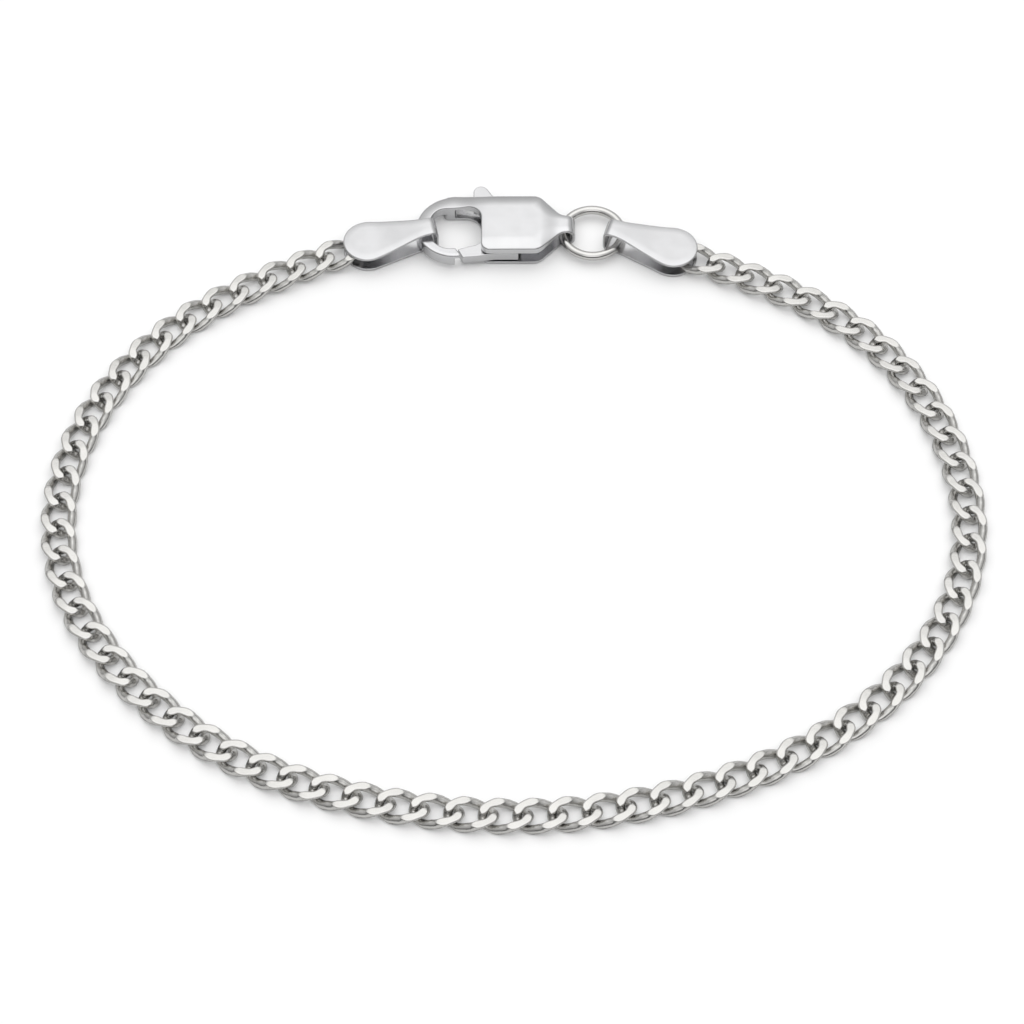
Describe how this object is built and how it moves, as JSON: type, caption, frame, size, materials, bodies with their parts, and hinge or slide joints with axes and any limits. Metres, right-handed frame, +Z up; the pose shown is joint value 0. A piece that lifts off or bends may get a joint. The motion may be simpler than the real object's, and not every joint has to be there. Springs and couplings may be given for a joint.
{
  "type": "link bracelet",
  "caption": "Link bracelet of flattened curb chain laid in a closed loop, with folded end tabs, a lever clasp hooked through one tab and a jump ring through the other.",
  "frame": {"origin": "on the surface the bracelet lies on, under the middle of its bounding box", "axes": "+X along the clasp from its hook to the jump ring, +Y across the loop towards the clasp, +Z up from the surface"},
  "size_m": [0.0658, 0.0544, 0.0021],
  "materials": {
    "chain": "polished silver, flattened faces",
    "tab": "satin polished silver",
    "clasp": "satin polished silver",
    "ring": "polished silver"
  },
  "bodies": {
    "bracelet": {"chain_right": "chain", "chain_left": "chain", "tab_right": "tab", "tab_left": "tab", "clasp_body": "clasp", "lever_pin": "clasp", "jump_ring": "ring"},
    "lever": {"clasp_lever": "clasp"}
  },
  "joints": [
    {"name": "lever_turn", "type": "hinge", "parent": "bracelet", "child": "lever", "pos_m": [-0.001, 0.0219, 0.00072], "axis": [0, 0, -1], "range_deg": [0, 22], "stiffness_Nm_per_rad": 0.00001, "springref_deg": -5.73}
  ]
}
